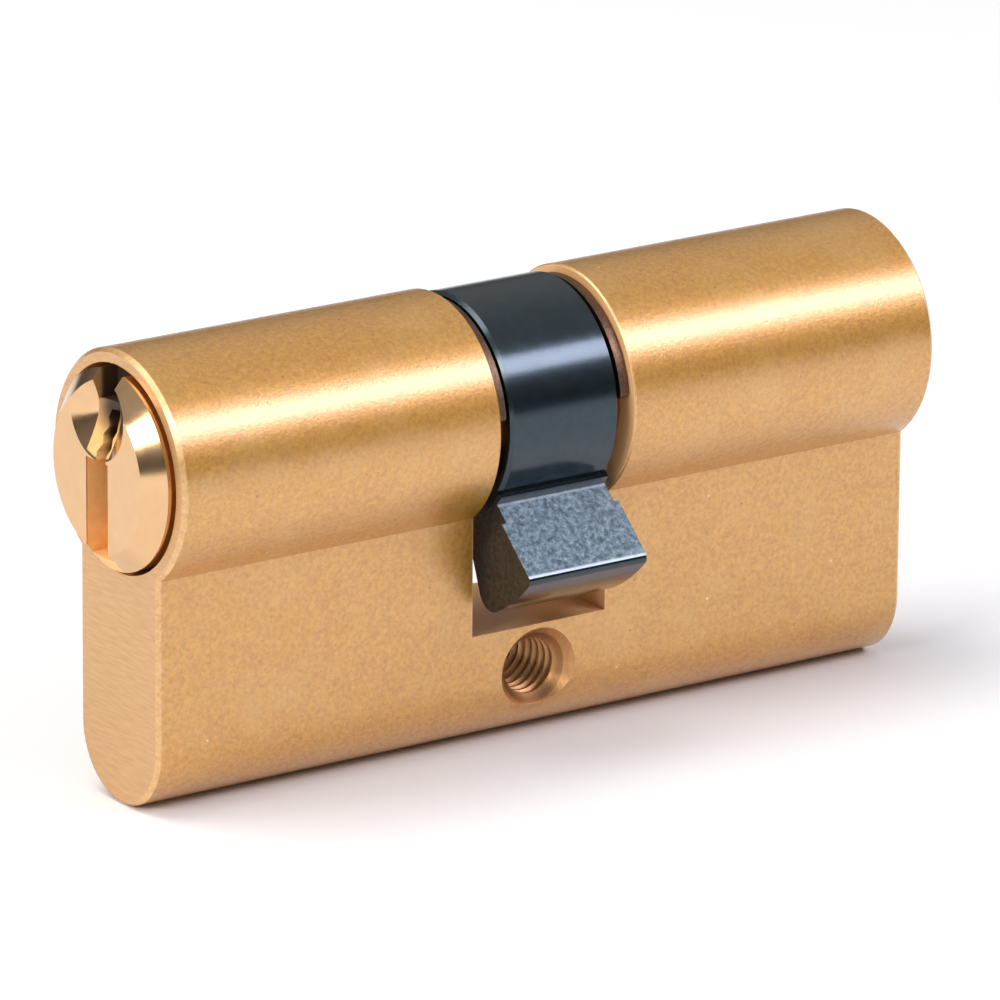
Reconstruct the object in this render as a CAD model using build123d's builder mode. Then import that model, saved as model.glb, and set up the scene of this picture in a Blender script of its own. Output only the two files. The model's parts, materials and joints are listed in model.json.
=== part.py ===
from build123d import *
import os
from math import cos, radians, sin, sqrt

# Euro-profile double cylinder lock, 32/32 mm, in millimetres.
# Origin: centre of the fixing-screw hole. +X runs along the cylinder, +Y along
# the fixing screw, +Z up. The plugs turn about a line along X above the origin.
# End A is at -X and end B at +X: direction -1 is A and +1 is B.

os.makedirs("parts", exist_ok=True)

# Driving dimensions -------------------------------------------------------

# Profile of the body
BODY_LENGTH = 64.0
PROFILE_RADIUS = 8.5
PROFILE_HEIGHT = 33.0
WEB_WIDTH = 10.0
PLUG_AXIS_Z = 19.2
END_EDGE_BREAK = 0.3

# Slot that the cam turns in
CAM_SLOT_WIDTH = 11.4
CAM_SLOT_FLOOR_Z = 3.5
SLOT_EDGE_BREAK = 0.12

# Fixing-screw hole, M5 x 0.8
THREAD_PITCH = 0.8
THREAD_MINOR_RADIUS = 2.067
THREAD_MAJOR_RADIUS = 2.5
THREAD_CREST_WIDTH = 0.2
THREAD_ROOT_WIDTH = 0.1
THREAD_CRESTS = 10
LEAD_IN_RADIUS = 3.15

# Plug and its bore
PLUG_RADIUS = 6.5
PLUG_BORE_RADIUS = 6.55
HEAD_RADIUS = 7.2
HEAD_BORE_RADIUS = 7.5
HEAD_LENGTH = 2.0
HEAD_BORE_DEPTH = 2.1
PLUG_PROUD = 1.7
FACE_RADIUS = 5.7
FACE_CHAMFER_LENGTH = 1.25
NOSE_END_X = 2.45

# Keyway, heights counted from the plug's axis
KEYWAY_WIDTH = 2.8
KEYWAY_BOTTOM = -4.6
KEYWAY_SHOULDER = 0.9
KEYWAY_TOP = 4.2
FRONT_SLOT_DEPTH = 2.5
FRONT_SLOT_BOTTOM = -6.1
WARD_HALF_WIDTH = 0.68
WARD_SWAY = 0.16
NECK_OFFSETS = (-0.5, -0.15)
COUNTERSINK_HEIGHT = 4.35
COUNTERSINK_RADIUS = 3.45
COUNTERSINK_DEPTH = 1.9
NOTCH_WIDTH = 2.8
NOTCH_BOTTOM = 4.9
NOTCH_DEPTH = 2.6

# Retaining clips
GROOVE_RADIUS = 5.75
GROOVE_INNER_X = 4.8
GROOVE_OUTER_X = 5.65
CLIP_THICKNESS = 0.7
CLIP_OUTER_RADIUS = 7.9
CLIP_MOUTH_ANGLE = 150.0
CLIP_TURN = 21.0
CLIP_END_RADIUS = 0.4

# Cam
CAM_RADIUS = 8.15
CAM_RING_WIDTH = 9.2
CAM_BORE_RADIUS = 6.55
CAM_FLANGE_WIDTH = 4.8
CAM_POCKET_RADIUS = 5.3
CAM_DRIVE_WIDTH = 1.6
LUG_WIDTH = 10.0
LUG_TIP_RADIUS = 15.1
LUG_NEAR_ANGLE = 12.3
LUG_FAR_ANGLE = 14.8
LUG_ANGLE = 36.0
LUG_NEAR_CORNER = 0.5
LUG_FAR_CORNER = 1.5
NECK_RADIUS = 10.1
NECK_FLARE_ANGLE = 17.5
COLLAR_RADIUS = 8.5
COLLAR_HALF_ANGLE = 17.5
CAM_RIM_BREAK = 0.25

# Clutch between the plugs and the cam
CLUTCH_SHIFT = 1.6
WING_THICKNESS = 1.5
WING_HALF_LENGTH = 5.0
WING_WIDTH = 3.0
PRONG_LENGTH = 5.45
PRONG_INNER = 1.6
PRONG_OUTER = 4.1
PRONG_THICKNESS = 2.5
TONGUE_SLOT_LENGTH = 8.4
TONGUE_SLOT_WIDTH = 2.7
TONGUE_SLOT_END_X = 8.0
DRIVE_SLOT_CLEARANCE = 0.1
PRONG_LEAD = 0.3
RIVET_RADIUS = 0.7
RIVET_HEAD_RADIUS = 1.2
RIVET_HEAD_THICKNESS = 0.55
RUNNING_CLEARANCE = 0.05

# Pin stacks, five for each plug
PIN_X = (26.0, 22.0, 18.0, 14.0, 10.0)
CHAMBER_RADIUS = 1.5
PIN_RADIUS = 1.42
PIN_EDGE_BREAK = 0.2
KEY_PIN_BOTTOM = -6.4
KEY_PIN_LENGTHS = (4.6, 5.4, 4.2, 6.0, 5.0)
KEY_PIN_TIP_RADIUS = 0.45
KEY_PIN_TIP_LENGTH = 1.1
PIN_STOP = 0.8
DRIVER_TOP = -6.58
DRIVER_LENGTH = 5.0
SPIGOT_RADIUS = 0.8
SPIGOT_LENGTH = 0.6
CAP_LENGTH = 2.5
SPRING_WIRE = 0.28
SPRING_MEAN_RADIUS = 1.15
SPRING_TURNS = 9
SPRING_GAP = 0.03

# How far cutting shapes reach past what they cut, and how near counts as equal
OVERCUT = 1.0
TINY = 0.01

# Worked out from the driving dimensions -----------------------------------

HALF_LENGTH = BODY_LENGTH / 2
WEB_RADIUS = WEB_WIDTH / 2
WEB_BOTTOM_Z = PLUG_AXIS_Z + PROFILE_RADIUS - PROFILE_HEIGHT
SLOT_HALF = CAM_SLOT_WIDTH / 2
SLOT_LENGTH = 2 * PROFILE_RADIUS
SLOT_HEIGHT = PLUG_AXIS_Z + PROFILE_RADIUS - CAM_SLOT_FLOOR_Z
FACE_X = HALF_LENGTH + PLUG_PROUD
HEAD_END_X = HALF_LENGTH - HEAD_LENGTH
CAP_TOP_Z = WEB_BOTTOM_Z + CAP_LENGTH
DRIVER_BOTTOM_Z = PLUG_AXIS_Z + DRIVER_TOP - DRIVER_LENGTH
MOUTH_REACH = 3 * CLIP_OUTER_RADIUS
ENDS = {"a": -1, "b": 1}
PLUG_AXIS = Axis((0, 0, PLUG_AXIS_Z), (1, 0, 0))


def polar(radius, angle):
    """Point in a plane across the plug's axis, the angle counted from straight down to -Y."""
    return (-radius * sin(radians(angle)), PLUG_AXIS_Z - radius * cos(radians(angle)))


# Body ---------------------------------------------------------------------

def thread_profile():
    """Half section of the internal thread as (distance along the hole, radius)."""
    flank = (THREAD_PITCH - THREAD_CREST_WIDTH - THREAD_ROOT_WIDTH) / 2
    start = -(THREAD_CRESTS - 1) / 2 * THREAD_PITCH
    points = []
    for crest in range(THREAD_CRESTS):
        middle = start + crest * THREAD_PITCH
        points.append((middle - THREAD_CREST_WIDTH / 2, THREAD_MINOR_RADIUS))
        points.append((middle + THREAD_CREST_WIDTH / 2, THREAD_MINOR_RADIUS))
        if crest < THREAD_CRESTS - 1:
            root = middle + THREAD_CREST_WIDTH / 2 + flank
            points.append((root, THREAD_MAJOR_RADIUS))
            points.append((root + THREAD_ROOT_WIDTH, THREAD_MAJOR_RADIUS))
    return points


def is_slot_rim(edge):
    """Whether an edge is the outside of the body at one side of the cam's slot."""
    at_slot = abs(abs(edge.center().X) - SLOT_HALF) < TINY
    return at_slot and abs(edge.radius - PROFILE_RADIUS) < TINY


with BuildPart() as housing:
    with BuildSketch(Plane.YZ.offset(-HALF_LENGTH)):
        with Locations((0, PLUG_AXIS_Z)):
            Circle(PROFILE_RADIUS)
        with Locations((0, WEB_BOTTOM_Z + WEB_RADIUS)):
            Circle(WEB_RADIUS)
            Rectangle(WEB_WIDTH, PLUG_AXIS_Z - WEB_BOTTOM_Z - WEB_RADIUS, align=(Align.CENTER, Align.MIN))
    extrude(amount=BODY_LENGTH)
    end_faces = faces().filter_by(Axis.X).sort_by(Axis.X)
    chamfer(end_faces[0].edges() + end_faces[-1].edges(), END_EDGE_BREAK)

    # Plug bores, with a wider mouth for each plug's head
    with Locations(Location((0, 0, PLUG_AXIS_Z), (0, 90, 0))):
        Cylinder(PLUG_BORE_RADIUS, BODY_LENGTH, mode=Mode.SUBTRACT)
    for outward in ENDS.values():
        with BuildSketch(Plane.YZ.offset(outward * HALF_LENGTH)):
            with Locations((0, PLUG_AXIS_Z)):
                Circle(HEAD_BORE_RADIUS)
        extrude(amount=-outward * HEAD_BORE_DEPTH, mode=Mode.SUBTRACT)

    # Slot for the cam, across the middle and open at the top and both sides
    with Locations((0, 0, CAM_SLOT_FLOOR_Z)):
        Box(
            CAM_SLOT_WIDTH,
            SLOT_LENGTH,
            SLOT_HEIGHT,
            align=(Align.CENTER, Align.CENTER, Align.MIN),
            mode=Mode.SUBTRACT,
        )
    slot_rims = edges().filter_by(GeomType.CIRCLE).filter_by(is_slot_rim)
    chamfer(slot_rims, SLOT_EDGE_BREAK)

    # Pin chambers, drilled up from the web's bottom into the plug bores
    for outward in ENDS.values():
        with BuildSketch(Plane.XY.offset(WEB_BOTTOM_Z)):
            with Locations([(outward * x, 0) for x in PIN_X]):
                Circle(CHAMBER_RADIUS)
        extrude(amount=PLUG_AXIS_Z - WEB_BOTTOM_Z, mode=Mode.SUBTRACT)

    # Fixing-screw hole with a lead-in cone at each mouth
    with BuildSketch(Plane.XY):
        with BuildLine():
            crests = thread_profile()
            mouth = [(WEB_RADIUS, LEAD_IN_RADIUS), (WEB_RADIUS, 0)]
            other_mouth = [(-y, radius) for y, radius in reversed(mouth)]
            Polyline([(radius, y) for y, radius in other_mouth + crests + mouth], close=True)
        make_face()
    revolve(axis=Axis.Y, mode=Mode.SUBTRACT)
housing.part.label = "housing"
export_step(housing.part, "parts/housing.step")


# Plugs ----------------------------------------------------------------------

def plug_outline():
    """Half section of a plug as (distance from the middle, radius)."""
    return [
        (NOSE_END_X, 0),
        (NOSE_END_X, PLUG_RADIUS),
        (GROOVE_INNER_X, PLUG_RADIUS),
        (GROOVE_INNER_X, GROOVE_RADIUS),
        (GROOVE_OUTER_X, GROOVE_RADIUS),
        (GROOVE_OUTER_X, PLUG_RADIUS),
        (HEAD_END_X, PLUG_RADIUS),
        (HEAD_END_X, HEAD_RADIUS),
        (FACE_X - FACE_CHAMFER_LENGTH, HEAD_RADIUS),
        (FACE_X, FACE_RADIUS),
        (FACE_X, 0),
    ]


def neck_outline():
    """Narrow warded part of the keyway as (across, height) points, leaning as it rises."""
    low_offset, high_offset = NECK_OFFSETS
    sways = (0, 1, -1, 1, -1, 1, 0)
    side = []
    for level, sway in enumerate(sways):
        rise = level / (len(sways) - 1)
        middle = low_offset + (high_offset - low_offset) * rise + WARD_SWAY * sway
        side.append((middle, KEYWAY_SHOULDER + (KEYWAY_TOP - KEYWAY_SHOULDER) * rise))
    right = [(middle + WARD_HALF_WIDTH, height) for middle, height in side]
    left = [(middle - WARD_HALF_WIDTH, height) for middle, height in reversed(side)]
    return right + left


def make_plug(end, outward):
    """A plug with its keyway, pin holes, clip groove and clutch slot."""
    with BuildPart() as plug:
        with BuildSketch(Plane.XZ):
            with BuildLine():
                Polyline([(outward * x, PLUG_AXIS_Z + r) for x, r in plug_outline()], close=True)
            make_face()
        revolve(axis=PLUG_AXIS)

        # Keyway: a wide channel for the blade's bitted edge under a warded neck that has
        # the same hand at both ends
        length = FACE_X - NOSE_END_X
        with BuildSketch(Plane.YZ.offset(outward * NOSE_END_X)):
            with Locations((0, PLUG_AXIS_Z + KEYWAY_BOTTOM)):
                Rectangle(KEYWAY_WIDTH, KEYWAY_SHOULDER - KEYWAY_BOTTOM, align=(Align.CENTER, Align.MIN))
            Polygon([(-outward * y, PLUG_AXIS_Z + h) for y, h in neck_outline()], align=None)
        extrude(amount=outward * length, mode=Mode.SUBTRACT)

        # Front slot, down to the bottom of the flat face
        with BuildSketch(Plane.YZ.offset(outward * FACE_X)):
            with Locations((0, PLUG_AXIS_Z + KEYWAY_SHOULDER)):
                Rectangle(KEYWAY_WIDTH, KEYWAY_SHOULDER - FRONT_SLOT_BOTTOM, align=(Align.CENTER, Align.MAX))
        extrude(amount=-outward * FRONT_SLOT_DEPTH, mode=Mode.SUBTRACT)

        # Notch in the top of the rim
        with BuildSketch(Plane.YZ.offset(outward * FACE_X)):
            with Locations((0, PLUG_AXIS_Z + NOTCH_BOTTOM)):
                Rectangle(NOTCH_WIDTH, HEAD_RADIUS, align=(Align.CENTER, Align.MIN))
        extrude(amount=-outward * NOTCH_DEPTH, mode=Mode.SUBTRACT)

        # Countersink that guides the key into the neck
        countersink_z = PLUG_AXIS_Z + COUNTERSINK_HEIGHT
        with BuildSketch(Plane.XZ):
            with BuildLine():
                Polyline(
                    (outward * FACE_X, countersink_z),
                    (outward * FACE_X, countersink_z + COUNTERSINK_RADIUS),
                    (outward * (FACE_X - COUNTERSINK_DEPTH), countersink_z),
                    close=True,
                )
            make_face()
        revolve(axis=Axis((0, 0, countersink_z), (1, 0, 0)), mode=Mode.SUBTRACT)

        # Key-pin holes, up from the bottom of the plug to a stop
        with BuildSketch(Plane.XY.offset(PLUG_AXIS_Z - PLUG_RADIUS - OVERCUT)):
            with Locations([(outward * x, 0) for x in PIN_X]):
                Circle(CHAMBER_RADIUS)
        extrude(amount=PLUG_RADIUS + OVERCUT + PIN_STOP, mode=Mode.SUBTRACT)

        # Blind slot across the nose for the clutch dog's prongs
        with BuildSketch(Plane.YZ.offset(outward * NOSE_END_X)):
            with Locations((0, PLUG_AXIS_Z)):
                Rectangle(TONGUE_SLOT_LENGTH, TONGUE_SLOT_WIDTH)
        extrude(amount=outward * (TONGUE_SLOT_END_X - NOSE_END_X), mode=Mode.SUBTRACT)
    plug.part.label = f"plug_{end}"
    export_step(plug.part, f"parts/plug_{end}.step")


for end, outward in ENDS.items():
    make_plug(end, outward)


# Retaining clips --------------------------------------------------------------

def make_clip(end, outward):
    """A thin C-shaped clip in the plug's groove, its mouth turned a little from straight down."""
    ends = (CLIP_TURN - CLIP_MOUTH_ANGLE / 2, CLIP_TURN + CLIP_MOUTH_ANGLE / 2)
    mouth = [polar(0, 0)] + [polar(MOUTH_REACH, angle) for angle in (ends[0], CLIP_TURN, ends[1])]
    with BuildPart() as clip:
        with BuildSketch(Plane.YZ.offset(outward * (GROOVE_INNER_X + GROOVE_OUTER_X) / 2)):
            with Locations((0, PLUG_AXIS_Z)):
                Circle(CLIP_OUTER_RADIUS)
                Circle(GROOVE_RADIUS, mode=Mode.SUBTRACT)
            Polygon(mouth, align=None, mode=Mode.SUBTRACT)
            fillet(vertices(), CLIP_END_RADIUS)
        extrude(amount=CLIP_THICKNESS / 2, both=True)
    clip.part.label = f"retaining_clip_{end}"
    export_step(clip.part, f"parts/retaining_clip_{end}.step")


for end, outward in ENDS.items():
    make_clip(end, outward)


# Cam ----------------------------------------------------------------------------

def lug_reach(vertex):
    """Distance of a sketch vertex from the plug's axis."""
    return sqrt(vertex.X**2 + (vertex.Y - PLUG_AXIS_Z) ** 2)


def tip_corners():
    """Vertices at the lug's tip in the sketch being drawn, from the near side to the far side."""
    return vertices().filter_by(lambda v: lug_reach(v) > LUG_TIP_RADIUS - OVERCUT).sort_by(Axis.X)


def lug_wedge(far_half_angle, near_half_angle, reach):
    """Wedge about the lug's middle line, from inside the ring out past the radius reach."""
    far_side = LUG_ANGLE - far_half_angle
    near_side = LUG_ANGLE + near_half_angle
    inner = CAM_RADIUS - OVERCUT
    outer = reach + OVERCUT
    return [polar(inner, far_side), polar(outer, far_side), polar(outer, near_side), polar(inner, near_side)]


with BuildPart() as cam:
    # Ring around both plug noses, with a low collar where the lug grows out of it
    with BuildSketch(Plane.YZ):
        Polygon(lug_wedge(COLLAR_HALF_ANGLE, COLLAR_HALF_ANGLE, COLLAR_RADIUS), align=None)
        with Locations((0, PLUG_AXIS_Z)):
            Circle(COLLAR_RADIUS, mode=Mode.INTERSECT)
            Circle(CAM_RADIUS)
    extrude(amount=CAM_RING_WIDTH / 2, both=True)

    # Neck of the lug, as wide as the ring, flared on its far side
    with BuildSketch(Plane.YZ):
        Polygon(lug_wedge(NECK_FLARE_ANGLE, LUG_NEAR_ANGLE, NECK_RADIUS), align=None)
        with Locations((0, PLUG_AXIS_Z)):
            Circle(NECK_RADIUS, mode=Mode.INTERSECT)
    extrude(amount=CAM_RING_WIDTH / 2, both=True)

    # Lug, standing past the ring on both sides, with a curved tip
    with BuildSketch(Plane.YZ):
        Polygon(lug_wedge(LUG_FAR_ANGLE, LUG_NEAR_ANGLE, LUG_TIP_RADIUS), align=None)
        with Locations((0, PLUG_AXIS_Z)):
            Circle(LUG_TIP_RADIUS, mode=Mode.INTERSECT)
            Circle(NECK_RADIUS, mode=Mode.SUBTRACT)
        fillet(tip_corners()[0], LUG_NEAR_CORNER)
        fillet(tip_corners()[-1], LUG_FAR_CORNER)
    extrude(amount=LUG_WIDTH / 2, both=True)

    # Seats for the two plug noses, and a pocket for a free clutch dog beside each
    for outward in ENDS.values():
        with BuildSketch(Plane.YZ.offset(outward * CAM_RING_WIDTH / 2)):
            with Locations((0, PLUG_AXIS_Z)):
                Circle(CAM_BORE_RADIUS)
        extrude(amount=-outward * (CAM_RING_WIDTH - CAM_FLANGE_WIDTH) / 2, mode=Mode.SUBTRACT)
        with BuildSketch(Plane.YZ.offset(outward * CAM_FLANGE_WIDTH / 2)):
            with Locations((0, PLUG_AXIS_Z)):
                Circle(CAM_POCKET_RADIUS)
        extrude(amount=-outward * (CAM_FLANGE_WIDTH - CAM_DRIVE_WIDTH) / 2, mode=Mode.SUBTRACT)

    # Drive slot for the wings of the engaged clutch dog
    with BuildSketch(Plane.YZ.offset(-CAM_DRIVE_WIDTH / 2)):
        with Locations((0, PLUG_AXIS_Z)):
            Rectangle(2 * CAM_POCKET_RADIUS, WING_WIDTH + 2 * DRIVE_SLOT_CLEARANCE)
            Circle(CAM_POCKET_RADIUS, mode=Mode.INTERSECT)
    extrude(amount=CAM_DRIVE_WIDTH, mode=Mode.SUBTRACT)

    # Small rounded rims on the ring
    rim = edges().filter_by(GeomType.CIRCLE).filter_by(lambda e: abs(e.radius - CAM_RADIUS) < TINY)
    chamfer(rim, CAM_RIM_BREAK)
cam.part.label = "cam"
export_step(cam.part, "parts/cam.step")


# Clutch ---------------------------------------------------------------------------

def make_clutch_dog(end, outward, inner_x):
    """A winged plate that starts at inner_x, with two prongs that slide in the plug's nose."""
    with BuildPart() as dog:
        with BuildSketch(Plane.YZ.offset(inner_x)):
            with Locations((0, PLUG_AXIS_Z)):
                Rectangle(2 * WING_HALF_LENGTH, WING_WIDTH)
                Circle(WING_HALF_LENGTH, mode=Mode.INTERSECT)
        extrude(amount=outward * WING_THICKNESS)
        with BuildSketch(Plane.YZ.offset(inner_x + outward * WING_THICKNESS)):
            prong_middle = (PRONG_INNER + PRONG_OUTER) / 2
            with Locations((prong_middle, PLUG_AXIS_Z), (-prong_middle, PLUG_AXIS_Z)):
                Rectangle(PRONG_OUTER - PRONG_INNER, PRONG_THICKNESS)
        extrude(amount=outward * PRONG_LENGTH)
        prong_ends = faces().group_by(Axis.X)[-1 if outward > 0 else 0]
        chamfer(prong_ends.edges(), PRONG_LEAD)
        with Locations(Location((inner_x, 0, PLUG_AXIS_Z), (0, 90, 0))):
            Cylinder(RIVET_RADIUS + RUNNING_CLEARANCE, 2 * (WING_THICKNESS + OVERCUT), mode=Mode.SUBTRACT)
    dog.part.label = f"clutch_dog_{end}"
    export_step(dog.part, f"parts/clutch_dog_{end}.step")


# Dog A starts engaged in the drive slot, and dog B stands free in its pocket
DOG_A_FACE_X = WING_THICKNESS / 2
DOG_B_FACE_X = CLUTCH_SHIFT - WING_THICKNESS / 2
make_clutch_dog("a", -1, DOG_A_FACE_X)
make_clutch_dog("b", 1, DOG_B_FACE_X)

with BuildPart() as rivet:
    rivet_start = DOG_A_FACE_X - WING_THICKNESS - RUNNING_CLEARANCE
    rivet_end = DOG_B_FACE_X + WING_THICKNESS + RUNNING_CLEARANCE
    with BuildSketch(Plane.YZ.offset(rivet_start)):
        with Locations((0, PLUG_AXIS_Z)):
            Circle(RIVET_RADIUS)
    extrude(amount=rivet_end - rivet_start)
    with BuildSketch(Plane.YZ.offset(rivet_start), Plane.YZ.offset(rivet_end + RIVET_HEAD_THICKNESS)):
        with Locations((0, PLUG_AXIS_Z)):
            Circle(RIVET_HEAD_RADIUS)
    extrude(amount=-RIVET_HEAD_THICKNESS)
rivet.part.label = "clutch_rivet"
export_step(rivet.part, "parts/clutch_rivet.step")


# Pin stacks -------------------------------------------------------------------------

def make_key_pin(name, x, length):
    """A key pin that stands on the shear line, with a conical tip inside the keyway."""
    bottom = PLUG_AXIS_Z + KEY_PIN_BOTTOM
    top = bottom + length
    with BuildPart() as pin:
        with BuildSketch(Plane.XZ):
            Polygon(
                (x, bottom),
                (x + PIN_RADIUS - PIN_EDGE_BREAK, bottom),
                (x + PIN_RADIUS, bottom + PIN_EDGE_BREAK),
                (x + PIN_RADIUS, top - KEY_PIN_TIP_LENGTH),
                (x + KEY_PIN_TIP_RADIUS, top),
                (x, top),
                align=None,
            )
        revolve(axis=Axis((x, 0, 0), (0, 0, 1)))
    pin.part.label = name
    export_step(pin.part, f"parts/{name}.step")


def make_driver_pin(name, x):
    """A driver pin just under the shear line, with a spigot inside its spring."""
    top = PLUG_AXIS_Z + DRIVER_TOP
    with BuildPart() as pin:
        with BuildSketch(Plane.XZ):
            Polygon(
                (x, top),
                (x + PIN_RADIUS - PIN_EDGE_BREAK, top),
                (x + PIN_RADIUS, top - PIN_EDGE_BREAK),
                (x + PIN_RADIUS, DRIVER_BOTTOM_Z + PIN_EDGE_BREAK),
                (x + PIN_RADIUS - PIN_EDGE_BREAK, DRIVER_BOTTOM_Z),
                (x + SPIGOT_RADIUS, DRIVER_BOTTOM_Z),
                (x + SPIGOT_RADIUS, DRIVER_BOTTOM_Z - SPIGOT_LENGTH),
                (x, DRIVER_BOTTOM_Z - SPIGOT_LENGTH),
                align=None,
            )
        revolve(axis=Axis((x, 0, 0), (0, 0, 1)))
    pin.part.label = name
    export_step(pin.part, f"parts/{name}.step")


def make_spring(name, x):
    """A helical spring between the driver pin and the chamber's cap."""
    low = CAP_TOP_Z + SPRING_WIRE / 2 + SPRING_GAP
    height = DRIVER_BOTTOM_Z - SPRING_WIRE / 2 - SPRING_GAP - low
    with BuildPart() as spring:
        with BuildLine() as path:
            Helix(height / SPRING_TURNS, height, SPRING_MEAN_RADIUS, center=(x, 0, low))
        with BuildSketch(Plane(origin=path.line @ 0, z_dir=path.line % 0)):
            Circle(SPRING_WIRE / 2)
        sweep(path=path.line, is_frenet=True)
    spring.part.label = name
    export_step(spring.part, f"parts/{name}.step")


def make_cap(name, x):
    """A cap pressed into a chamber, flush with the web's rounded bottom."""
    with BuildPart() as cap:
        with BuildSketch(Plane.XY.offset(WEB_BOTTOM_Z)):
            with Locations((x, 0)):
                Circle(CHAMBER_RADIUS)
        extrude(amount=CAP_LENGTH)
        with Locations(Location((0, 0, WEB_BOTTOM_Z + WEB_RADIUS), (0, 90, 0))):
            Cylinder(WEB_RADIUS, BODY_LENGTH, mode=Mode.INTERSECT)
    cap.part.label = name
    export_step(cap.part, f"parts/{name}.step")


for end, outward in ENDS.items():
    for number, (pin_x, pin_length) in enumerate(zip(PIN_X, KEY_PIN_LENGTHS), start=1):
        x = outward * pin_x
        make_key_pin(f"key_pin_{end}{number}", x, pin_length)
        make_driver_pin(f"driver_pin_{end}{number}", x)
        make_spring(f"spring_{end}{number}", x)
        make_cap(f"chamber_cap_{end}{number}", x)
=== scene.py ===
"""Looks of a euro-profile double cylinder lock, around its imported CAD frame. Lengths are in metres."""

import json
from math import cos, pi, radians, sin

import bpy
from mathutils import Matrix, Vector


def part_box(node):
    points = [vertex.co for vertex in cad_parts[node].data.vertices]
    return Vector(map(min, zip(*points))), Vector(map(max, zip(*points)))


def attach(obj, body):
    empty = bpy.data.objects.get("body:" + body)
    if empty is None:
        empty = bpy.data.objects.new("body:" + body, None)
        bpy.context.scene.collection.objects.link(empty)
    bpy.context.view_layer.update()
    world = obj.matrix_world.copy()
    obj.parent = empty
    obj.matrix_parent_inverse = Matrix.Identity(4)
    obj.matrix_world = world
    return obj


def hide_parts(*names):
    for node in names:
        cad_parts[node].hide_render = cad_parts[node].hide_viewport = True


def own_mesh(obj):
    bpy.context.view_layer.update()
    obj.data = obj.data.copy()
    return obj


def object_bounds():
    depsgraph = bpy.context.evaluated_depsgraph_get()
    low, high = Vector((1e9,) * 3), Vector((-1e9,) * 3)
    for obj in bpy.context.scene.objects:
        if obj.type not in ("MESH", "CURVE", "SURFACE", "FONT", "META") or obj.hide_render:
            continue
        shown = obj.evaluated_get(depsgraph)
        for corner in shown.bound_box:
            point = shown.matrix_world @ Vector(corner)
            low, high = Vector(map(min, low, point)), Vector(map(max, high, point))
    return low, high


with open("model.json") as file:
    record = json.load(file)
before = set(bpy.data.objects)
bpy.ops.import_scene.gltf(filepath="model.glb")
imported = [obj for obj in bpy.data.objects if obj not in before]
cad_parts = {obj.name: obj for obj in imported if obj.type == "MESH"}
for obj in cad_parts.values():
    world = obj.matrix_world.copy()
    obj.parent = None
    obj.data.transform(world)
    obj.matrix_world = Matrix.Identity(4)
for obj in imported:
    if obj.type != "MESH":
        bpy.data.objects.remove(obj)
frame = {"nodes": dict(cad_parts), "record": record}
cad_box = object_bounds()

MM = 0.001

# Camera, at the photograph's viewing angle
VIEW_AZIMUTH = -34.54
VIEW_ELEVATION = 17.88
VIEW_ROLL = 0.48
VIEW_DISTANCE = 0.662
VIEW_TARGET = (-5.9 * MM, -8.6 * MM, 14.7 * MM)
LENS = 341.1
CLIP_START = 0.01

# Places on the object, from the frame
housing_low, housing_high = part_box("housing")
plug_low, plug_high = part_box("plug_a")
cam_low, cam_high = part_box("cam")
AXIS_Z = (plug_low.z + plug_high.z) / 2
HOUSING_END_X = housing_high.x
LOBE_RADIUS = housing_high.y
PLUG_FACE_X = -plug_low.x
LUG_HALF_WIDTH = cam_high.x

# Sizes of features that the frame's boxes don't give
END_BREAK = 0.3 * MM
SLOT_HALF = 5.7 * MM
SLOT_FLOOR_Z = 3.5 * MM
SLOT_BREAK = 0.13 * MM
HOLE_RADIUS = 2.60 * MM
THREAD_CREST = 2.10 * MM
THREAD_ROOT = 2.42 * MM
MOUTH_RADIUS = 3.20 * MM
WEB_HALF = 5.0 * MM
HEAD_BORE_RADIUS = 7.5 * MM
KEYWAY_HALF = 1.4 * MM
KEYWAY_SHOULDER = 0.95 * MM
NOTCH_BOTTOM = 4.85 * MM
RING_RADIUS = 8.2 * MM
RING_HALF = 4.6 * MM
COLLAR_RADIUS = 8.5 * MM
NECK_RADIUS = 10.12 * MM
LUG_FLANK_ANGLE = 36.0 + 12.3
LUG_TIP = 15.1 * MM

# Coils that stand in for the frame's rigid springs
SPRING_TURNS = 9
WIRE_RADIUS = 0.14 * MM
STEPS_PER_TURN = 28
WIRE_SIDES = 10

# How far a mask reaches past the surface that it picks out, and how softly it may end
REACH = 0.02 * MM
LONG_REACH = 0.03 * MM
SOFT = 0.05 * MM

# Studio
FLOOR_SIZE = 3.0
FLOOR_GREY = (0.90, 0.90, 0.90, 1)
SKY_LEVELS = ((0.12, 0.10), (0.75, 0.50))
LIGHTS = (
    # name, azimuth, elevation, distance, size, power, colour
    ("key", 41.0, 38.5, 0.60, (0.38, 0.14), 1.40, (0.96, 0.94, 1.12)),
    ("top_fill", -125.0, 66.0, 0.70, (0.50, 0.50), 3.4, (1, 1, 1)),
    ("end_fill", -78.0, 27.0, 0.70, (0.32, 0.17), 1.9, (1, 1, 1)),
)


# Node helpers -----------------------------------------------------------------

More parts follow.
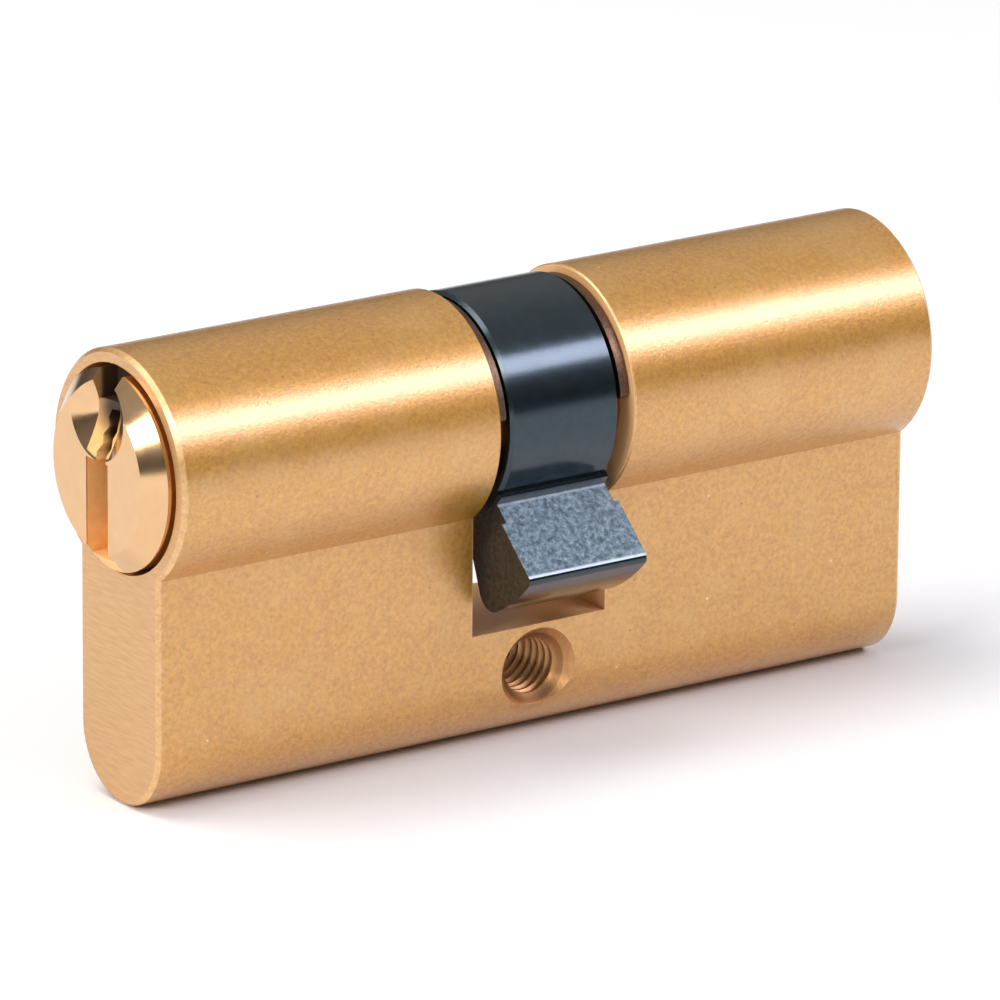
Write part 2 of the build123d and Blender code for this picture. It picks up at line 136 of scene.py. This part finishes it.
class Graph:
    """A material's node tree, with a short call for each kind of node."""

    def __init__(self, name):
        self.material = bpy.data.materials.new(name)
        self.material.use_nodes = True
        self.tree = self.material.node_tree
        self.shader = self.tree.nodes["Principled BSDF"]
        self.point = self.node("ShaderNodeTexCoord").outputs["Object"]
        self.x, self.y, self.z = self.split(self.point)

    def node(self, kind, **settings):
        made = self.tree.nodes.new(kind)
        for key, value in settings.items():
            setattr(made, key, value)
        return made

    def put(self, socket, value):
        """Links an output to the socket, or sets a plain value on it."""
        if isinstance(value, bpy.types.NodeSocket):
            self.tree.links.new(value, socket)
        else:
            socket.default_value = value

    def math(self, operation, *values):
        made = self.node("ShaderNodeMath", operation=operation)
        for socket, value in zip(made.inputs, values):
            self.put(socket, value)
        return made.outputs[0]

    def product(self, first, *others):
        for other in others:
            first = self.math("MULTIPLY", first, other)
        return first

    def largest(self, first, *others):
        for other in others:
            first = self.math("MAXIMUM", first, other)
        return first

    def above(self, value, limit):
        """1 where the value is over the limit, and 0 elsewhere."""
        return self.math("GREATER_THAN", value, limit)

    def below(self, value, limit):
        """1 where the value is under the limit, and 0 elsewhere."""
        return self.math("LESS_THAN", value, limit)

    def outside(self, mask):
        """1 where the mask is 0, and 0 where it is 1."""
        return self.math("SUBTRACT", 1.0, mask)

    def size(self, value):
        """The value without its sign."""
        return self.math("ABSOLUTE", value)

    def hypotenuse(self, first, second):
        squares = self.math("ADD", self.product(first, first), self.product(second, second))
        return self.math("SQRT", squares)

    def height(self):
        """How far a point is above the plugs' axis."""
        return self.math("SUBTRACT", self.z, AXIS_Z)

    def axis_radius(self):
        """How far a point is from the plugs' axis."""
        return self.hypotenuse(self.y, self.height())

    def split(self, vector):
        made = self.node("ShaderNodeSeparateXYZ")
        self.put(made.inputs[0], vector)
        return made.outputs

    def join(self, x, y, z):
        made = self.node("ShaderNodeCombineXYZ")
        for socket, value in zip(made.inputs, (x, y, z)):
            self.put(socket, value)
        return made.outputs[0]

    def noise(self, size, detail=3.0, roughness=0.55, vector=None):
        """Noise with features about size metres across, from 0 to 1."""
        made = self.node("ShaderNodeTexNoise")
        self.put(made.inputs["Vector"], self.point if vector is None else vector)
        made.inputs["Scale"].default_value = 1 / size
        made.inputs["Detail"].default_value = detail
        made.inputs["Roughness"].default_value = roughness
        return made.outputs["Fac"]

    def strokes(self, x, y, z, detail=2.0):
        """Noise in the place (x, y, z), which stretches it into tool marks."""
        return self.noise(1.0, detail=detail, vector=self.join(x, y, z))

    def cells(self, size, shift=(0.0, 0.0, 0.0)):
        """Distance from the middles of cells about size metres across, moved by shift metres."""
        moved = self.node("ShaderNodeVectorMath", operation="ADD")
        self.put(moved.inputs[0], self.point)
        moved.inputs[1].default_value = shift
        made = self.node("ShaderNodeTexVoronoi")
        self.put(made.inputs["Vector"], moved.outputs[0])
        made.inputs["Scale"].default_value = 1 / size
        return made.outputs["Distance"]

    def ramp(self, value, *stops):
        """Value mapped to colours or grey levels at the stops (position, colour or level)."""
        made = self.node("ShaderNodeValToRGB")
        elements = made.color_ramp.elements
        while len(elements) < len(stops):
            elements.new(0.5)
        for element, (position, colour) in zip(elements, stops):
            element.position = position
            grey = isinstance(colour, (int, float))
            element.color = (colour, colour, colour, 1) if grey else (*colour, 1)
        self.put(made.inputs[0], value)
        return made.outputs["Color"]

    def between(self, value, low, high):
        """0 below low and 1 above high, with a smooth step between them."""
        made = self.node("ShaderNodeMapRange", interpolation_type="SMOOTHSTEP")
        self.put(made.inputs["Value"], value)
        made.inputs["From Min"].default_value = low
        made.inputs["From Max"].default_value = high
        return made.outputs["Result"]

    def mix(self, factor, first, second):
        """Colour mixed from first to second by factor."""
        made = self.node("ShaderNodeMix", data_type="RGBA")
        self.put(made.inputs["Factor"], factor)
        for socket, value in ((made.inputs["A"], first), (made.inputs["B"], second)):
            value = (*value, 1) if isinstance(value, tuple) else value
            self.put(socket, value)
        return made.outputs["Result"]

    def blend(self, factor, first, second):
        """Number mixed from first to second by factor."""
        made = self.node("ShaderNodeMix", data_type="FLOAT")
        self.put(made.inputs["Factor"], factor)
        self.put(made.inputs["A"], first)
        self.put(made.inputs["B"], second)
        return made.outputs["Result"]

    def bump(self, height, distance, strength=1.0):
        made = self.node("ShaderNodeBump")
        made.inputs["Distance"].default_value = distance
        made.inputs["Strength"].default_value = strength
        self.put(made.inputs["Height"], height)
        return made.outputs["Normal"]

    def coat(self, weight, roughness, ior):
        """Clear layer over the metal."""
        self.put(self.shader.inputs["Coat Weight"], weight)
        self.shader.inputs["Coat Roughness"].default_value = roughness
        self.shader.inputs["Coat IOR"].default_value = ior

    def finish(self, colour, roughness, metallic=1.0, normal=None):
        self.put(self.shader.inputs["Base Color"], colour)
        self.put(self.shader.inputs["Roughness"], roughness)
        self.put(self.shader.inputs["Metallic"], metallic)
        if normal is not None:
            self.put(self.shader.inputs["Normal"], normal)
        return self.material


# Materials ----------------------------------------------------------------------

def body_brass():
    """Satin extruded brass under thin lacquer, browner and smoother where it was machined; painted light
    in the cam's slot, painted shade in the thread grooves, and broken edges rubbed brighter with a
    painted highlight.
    """
    g = Graph("body_brass")
    across = g.size(g.x)
    from_axis = g.axis_radius()

    # Extruded skin: fine grain and specks over broad clouds
    grain = g.noise(0.20 * MM, detail=3.0, roughness=0.75)
    specks = g.noise(0.34 * MM, detail=4.0, roughness=0.75)
    clouds = g.between(g.noise(5.0 * MM, detail=2.0), 0.45, 0.75)
    skin_dark, skin_middle, skin_light = (0.50, 0.214, 0.024), (0.64, 0.300, 0.034), (0.76, 0.374, 0.052)
    colour = g.ramp(specks, (0.32, skin_dark), (0.50, skin_middle), (0.68, skin_light))
    colour = g.mix(g.between(grain, 0.62, 0.80), colour, (0.80, 0.51, 0.17))
    colour = g.mix(g.between(grain, 0.42, 0.25), colour, (0.41, 0.205, 0.030))
    colour = g.mix(g.product(clouds, 0.30), colour, (0.71, 0.43, 0.120))

    # Sparse pits and bright flecks
    pits = g.between(g.cells(2.6 * MM), 0.055, 0.030)
    colour = g.mix(g.product(pits, 0.75), colour, (0.30, 0.14, 0.045))
    flecks = g.between(g.cells(3.4 * MM, shift=(0.31, 0.17, 0.23)), 0.040, 0.022)
    colour = g.mix(g.product(flecks, 0.8), colour, (0.95, 0.72, 0.45))

    # Milled end faces, paler and pinker
    on_end = g.between(across, HOUSING_END_X - LONG_REACH, HOUSING_END_X - LONG_REACH / 3)
    milling = g.strokes(0.0, g.product(g.y, 500.0), g.product(g.z, 6000.0))
    end_colour = g.ramp(milling, (0.30, (0.60, 0.325, 0.120)), (0.70, (0.70, 0.402, 0.165)))
    colour = g.mix(on_end, colour, end_colour)

    # Broken edges of the ends and of the slot's rim, rubbed brighter by wear and partly a painted
    # highlight along the bevels
    end_edge_x = HOUSING_END_X - END_BREAK
    end_edge = g.product(g.between(across, end_edge_x - 0.12 * MM, end_edge_x), g.outside(on_end))
    rim_radius = LOBE_RADIUS - SLOT_BREAK
    at_rim = g.between(from_axis, rim_radius - 0.01 * MM, rim_radius + 0.01 * MM)
    slot_edge = g.product(g.below(across, SLOT_HALF + SLOT_BREAK), at_rim, g.above(g.z, SLOT_FLOOR_Z))
    edges = g.largest(g.product(end_edge, 0.5), g.product(slot_edge, 0.35))
    rubbed_and_highlit = g.product(edges, g.ramp(specks, (0.3, 0.35), (0.7, 0.95)))
    colour = g.mix(rubbed_and_highlit, colour, (0.86, 0.56, 0.28))

    # Cut surfaces: the slot for the cam, the threaded hole with its mouth, and the plugs' bores
    in_slot = g.product(g.below(across, SLOT_HALF + LONG_REACH), g.above(g.z, SLOT_FLOOR_Z - LONG_REACH))
    from_hole = g.hypotenuse(g.x, g.z)
    in_hole = g.below(from_hole, HOLE_RADIUS)
    in_mouth = g.product(g.below(from_hole, MOUTH_RADIUS), g.below(g.size(g.y), WEB_HALF - REACH))
    in_bore = g.below(from_axis, HEAD_BORE_RADIUS + REACH)
    machined = g.largest(in_slot, in_hole, in_bore, in_mouth)
    streaks = g.strokes(g.product(g.x, 9000.0), g.product(g.y, 300.0), g.z)
    cut_colour = g.ramp(streaks, (0.3, (0.58, 0.295, 0.110)), (0.7, (0.74, 0.400, 0.165)))
    # Painted light: the cam's slot gets a brighter colour than the other cut surfaces, standing in for
    # light falling into it
    slot_painted_light_colour = g.ramp(streaks, (0.3, (0.88, 0.46, 0.18)), (0.7, (0.95, 0.55, 0.25)))
    colour = g.mix(machined, colour, cut_colour)
    colour = g.mix(in_slot, colour, slot_painted_light_colour)
    # Painted shade: darker towards the thread roots, in the grooves inside the threaded hole
    thread_groove_shade = g.product(in_hole, g.between(from_hole, THREAD_CREST, THREAD_ROOT))
    colour = g.mix(g.product(thread_groove_shade, 0.6), colour, (0.26, 0.12, 0.045))

    roughness = g.blend(machined, g.ramp(grain, (0.3, 0.44), (0.7, 0.36)), 0.40)
    metallic = g.blend(g.largest(in_hole, in_mouth), g.blend(machined, 0.64, 0.18), 0.85)
    unlacquered = g.largest(machined, g.product(on_end, 0.7))
    g.coat(g.blend(unlacquered, 1.0, 0.08), 0.25, 1.9)
    normal = g.bump(grain, 0.030 * MM, 0.5)
    g.put(g.shader.inputs["Coat Normal"], normal)
    return g.finish(colour, roughness, metallic, normal)


def plug_brass():
    """Turned and polished brass with faint circular tool marks, duller inside the keyway."""
    g = Graph("plug_brass")
    rings = g.strokes(g.product(g.axis_radius(), 14000.0), 0.0, 0.0, detail=3.0)
    haze = g.noise(0.9 * MM, detail=4.0)
    colour = g.mix(haze, (0.69, 0.415, 0.210), (0.76, 0.500, 0.280))

    # Keyway: painted light in the front slot, and painted shade behind it, in the neck and in the rim's
    # notch
    depth = g.math("SUBTRACT", PLUG_FACE_X, g.size(g.x))
    past_face = g.between(depth, LONG_REACH, 5 * LONG_REACH)
    inside = g.product(g.below(g.size(g.y), KEYWAY_HALF + REACH), past_face)
    keyway_painted_light_and_shade = g.ramp(haze, (0.3, (0.93, 0.49, 0.16)), (0.7, (1.0, 0.60, 0.24)))
    in_neck = g.above(g.z, AXIS_Z + KEYWAY_SHOULDER)
    painted_shade_depth = g.blend(in_neck, 2.6 * MM, 0.6 * MM)
    behind = g.between(g.math("SUBTRACT", depth, painted_shade_depth), 0.0, 1.0 * MM)
    in_notch = g.above(g.z, AXIS_Z + NOTCH_BOTTOM)
    painted_shade = g.largest(behind, g.product(in_notch, 0.62))
    keyway_painted_light_and_shade = g.mix(painted_shade, keyway_painted_light_and_shade, (0.045, 0.020, 0.009))

    colour = g.mix(inside, colour, keyway_painted_light_and_shade)
    roughness = g.blend(inside, g.blend(haze, 0.12, 0.18), 0.45)
    metallic = g.blend(inside, 1.0, 0.10)
    return g.finish(colour, roughness, metallic, g.bump(rings, 0.004 * MM, 0.5))


def pin_brass():
    """Turned brass of the pins."""
    g = Graph("pin_brass")
    rings = g.strokes(0.0, 0.0, g.product(g.z, 12000.0))
    colour = g.ramp(rings, (0.3, (0.62, 0.41, 0.17)), (0.7, (0.78, 0.56, 0.28)))
    return g.finish(colour, 0.25, 1.0, g.bump(rings, 0.004 * MM))


def blackened_steel():
    """Blackened sintered steel: smooth blue-black ring, granular grey lug flank."""
    g = Graph("blackened_steel")
    reach = g.axis_radius()
    patches = g.noise(0.9 * MM, detail=5.0, roughness=0.6)
    fine = g.noise(0.16 * MM, detail=3.0, roughness=0.65)
    grit = g.noise(0.38 * MM, detail=5.0, roughness=0.72)
    colour = g.ramp(patches, (0.30, (0.014, 0.026, 0.034)), (0.75, (0.024, 0.044, 0.058)))
    past_collar = g.between(reach, COLLAR_RADIUS - SOFT, COLLAR_RADIUS + SOFT)
    within_collar = g.between(reach, COLLAR_RADIUS + SOFT, COLLAR_RADIUS - SOFT)

    # Pressed flank of the lug, rough and paler than the rest: the plane through its near side
    flank_y, flank_z = -cos(radians(LUG_FLANK_ANGLE)), sin(radians(LUG_FLANK_ANGLE))
    off_plane = g.math("ADD", g.product(g.y, flank_y), g.product(g.height(), flank_z))
    on_flank = g.product(g.above(off_plane, -LONG_REACH), past_collar)
    grit_dark, grit_middle, grit_light = (0.070, 0.100, 0.122), (0.18, 0.245, 0.29), (0.36, 0.43, 0.48)
    grit_colour = g.ramp(grit, (0.34, grit_dark), (0.50, grit_middle), (0.66, grit_light))
    colour = g.mix(on_flank, colour, grit_colour)

    # The flank's edges, at the tip and at the collar, pale from wear and partly a painted highlight
    tip_edge = g.between(reach, LUG_TIP - 0.62 * MM, LUG_TIP - 0.50 * MM)
    top_edge = g.between(reach, COLLAR_RADIUS + 0.30 * MM, COLLAR_RADIUS + 0.20 * MM)
    worn_and_highlit = g.product(g.largest(tip_edge, g.product(top_edge, 0.6)), on_flank)
    colour = g.mix(g.product(worn_and_highlit, 0.8), colour, (0.62, 0.68, 0.72))

    # Painted shade on the ledge between the ring and the flank, nearly black
    past_ring = g.between(reach, RING_RADIUS, RING_RADIUS + 2 * SOFT)
    on_shaded_ledge = g.product(past_ring, within_collar)
    colour = g.mix(on_shaded_ledge, colour, (0.010, 0.013, 0.013))

    # Sides of the lug and its neck, dull, their brownish tint a painted reflection of the brass around
    # them
    side_x = g.blend(g.above(reach, NECK_RADIUS), RING_HALF - REACH, LUG_HALF_WIDTH - REACH)
    on_side = g.product(g.above(reach, RING_RADIUS), g.above(g.size(g.x), side_x), g.outside(on_flank))
    side_reflection_colour = g.ramp(grit, (0.35, (0.045, 0.043, 0.038)), (0.65, (0.100, 0.094, 0.082)))
    colour = g.mix(on_side, colour, side_reflection_colour)

    dull = g.largest(on_flank, on_side, on_shaded_ledge)
    roughness = g.blend(dull, g.ramp(patches, (0.3, 0.15), (0.7, 0.22)), 0.50)
    g.coat(g.blend(dull, 0.60, 0.05), 0.16, 1.6)
    relief = g.blend(on_flank, g.product(fine, 0.22), grit)
    return g.finish(colour, roughness, 0.85, g.bump(relief, 0.05 * MM, 0.7))


def steel(name, dark, light, roughness):
    """Plain bright steel with faint drawn streaks."""
    g = Graph(name)
    streaks = g.noise(0.25 * MM, detail=3.0)
    colour = g.ramp(streaks, (0.3, dark), (0.7, light))
    return g.finish(colour, roughness, 1.0, g.bump(streaks, 0.004 * MM))


MATERIALS = {
    "body_brass": body_brass(),
    "plug_brass": plug_brass(),
    "pin_brass": pin_brass(),
    "blackened_steel": blackened_steel(),
    # The clip's dark brown is partly its own tone and partly painted shade of the gap between the cam
    # and the housing
    "clip_steel": steel("clip_steel", (0.11, 0.065, 0.042), (0.20, 0.125, 0.085), 0.42),
    "spring_steel": steel("spring_steel", (0.42, 0.42, 0.43), (0.60, 0.60, 0.61), 0.25),
    "clutch_steel": steel("clutch_steel", (0.30, 0.30, 0.30), (0.48, 0.47, 0.45), 0.38),
}

for subpart in frame["record"]["subparts"]:
    node = frame["nodes"][subpart["node"]]
    node.data.materials.clear()
    node.data.materials.append(MATERIALS[subpart["material_slot"]])


# Springs, coiled in the place of the frame's rigid ones ------------------------------------

def coil_mesh(name, middle, foot, top, coil_radius):
    """Mesh of a helical wire, its centre line rising from foot to top about the point middle in plan."""
    rise = (top - foot) / SPRING_TURNS / (2 * pi)
    points, faces = [], []
    for step in range(SPRING_TURNS * STEPS_PER_TURN + 1):
        turn = 2 * pi * step / STEPS_PER_TURN
        outward = Vector((cos(turn), sin(turn), 0))
        along = Vector((-coil_radius * sin(turn), coil_radius * cos(turn), rise)).normalized()
        centre = Vector((middle, 0, foot + rise * turn)) + outward * coil_radius
        for side in range(WIRE_SIDES):
            around = 2 * pi * side / WIRE_SIDES
            offset = outward * cos(around) + outward.cross(along) * sin(around)
            points.append(centre + offset * WIRE_RADIUS)
    last = len(points) - WIRE_SIDES
    for ring in range(0, last, WIRE_SIDES):
        for side in range(WIRE_SIDES):
            here, beside = ring + side, ring + (side + 1) % WIRE_SIDES
            faces.append((here, here + WIRE_SIDES, beside + WIRE_SIDES, beside))
    faces.append(tuple(range(WIRE_SIDES)))
    faces.append(tuple(reversed(range(last, last + WIRE_SIDES))))
    mesh = bpy.data.meshes.new(name)
    mesh.from_pydata(points, [], faces)
    mesh.shade_smooth()
    return mesh


def make_coil(stack):
    """A pin stack's spring, in place of the frame's rigid one, coiled within that one's box."""
    low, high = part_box(f"spring_{stack}")
    middle = (low.x + high.x) / 2
    foot, top = low.z + WIRE_RADIUS, high.z - WIRE_RADIUS
    mesh = coil_mesh(f"coil_{stack}", middle, foot, top, high.y - WIRE_RADIUS)
    mesh.materials.append(MATERIALS["spring_steel"])
    coil = bpy.data.objects.new(f"coil_{stack}", mesh)
    bpy.context.scene.collection.objects.link(coil)
    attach(coil, "housing")
    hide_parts(f"spring_{stack}")
    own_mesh(coil)


for end in "ab":
    for number in range(1, 6):
        make_coil(f"{end}{number}")


# Studio ---------------------------------------------------------------------------

def view_direction(azimuth, elevation):
    """Unit vector that looks at the object: azimuth 0 looks along +Y, and elevation looks down."""
    a, e = radians(azimuth), radians(elevation)
    return Vector((-sin(a) * cos(e), cos(a) * cos(e), -sin(e)))


def make_floor():
    """A plain pale floor that the web's rounded bottom stands on."""
    mesh = bpy.data.meshes.new("floor")
    corners = [(x * FLOOR_SIZE, y * FLOOR_SIZE, 0) for x, y in ((-1, -1), (1, -1), (1, 1), (-1, 1))]
    mesh.from_pydata(corners, [], [(0, 1, 2, 3)])
    floor = bpy.data.objects.new("floor", mesh)
    bpy.context.scene.collection.objects.link(floor)
    floor.location.z = cad_box[0][2]
    g = Graph("floor_pale")
    g.finish(FLOOR_GREY, 0.9, 0.0)
    mesh.materials.append(g.material)


def make_camera():
    """The camera, where the photograph was taken from."""
    data = bpy.data.cameras.new("camera")
    data.lens = LENS
    data.clip_start = CLIP_START
    camera = bpy.data.objects.new("camera", data)
    bpy.context.scene.collection.objects.link(camera)
    direction = view_direction(VIEW_AZIMUTH, VIEW_ELEVATION)
    camera.location = Vector(VIEW_TARGET) - direction * VIEW_DISTANCE
    upright = direction.to_track_quat("-Z", "Y").to_matrix()
    camera.rotation_euler = (upright @ Matrix.Rotation(radians(VIEW_ROLL), 3, "Z")).to_euler()
    bpy.context.scene.camera = camera


def make_world():
    """Pale surroundings, dark towards the horizon."""
    world = bpy.data.worlds.new("studio")
    bpy.context.scene.world = world
    world.use_nodes = True
    nodes, links = world.node_tree.nodes, world.node_tree.links
    up = nodes.new("ShaderNodeSeparateXYZ")
    links.new(nodes.new("ShaderNodeTexCoord").outputs["Generated"], up.inputs[0])
    ramp = nodes.new("ShaderNodeValToRGB")
    for element, (height, level) in zip(ramp.color_ramp.elements, SKY_LEVELS):
        element.position = height
        element.color = (level, level, level, 1)
    links.new(up.outputs["Z"], ramp.inputs[0])
    links.new(ramp.outputs["Color"], nodes["Background"].inputs["Color"])


def area_light(name, azimuth, elevation, distance, size, power, colour):
    """A rectangular softbox aimed at the camera's target, azimuth as for the camera."""
    light = bpy.data.lights.new(name, "AREA")
    light.shape = "RECTANGLE"
    light.size, light.size_y = size
    light.energy = power
    light.color = colour
    lamp = bpy.data.objects.new(name, light)
    bpy.context.scene.collection.objects.link(lamp)
    direction = view_direction(azimuth, elevation)
    lamp.location = Vector(VIEW_TARGET) - direction * distance
    lamp.rotation_euler = direction.to_track_quat("-Z", "Y").to_euler()


make_floor()
make_camera()
make_world()
for settings in LIGHTS:
    area_light(*settings)
bpy.context.scene.view_settings.view_transform = "Standard"
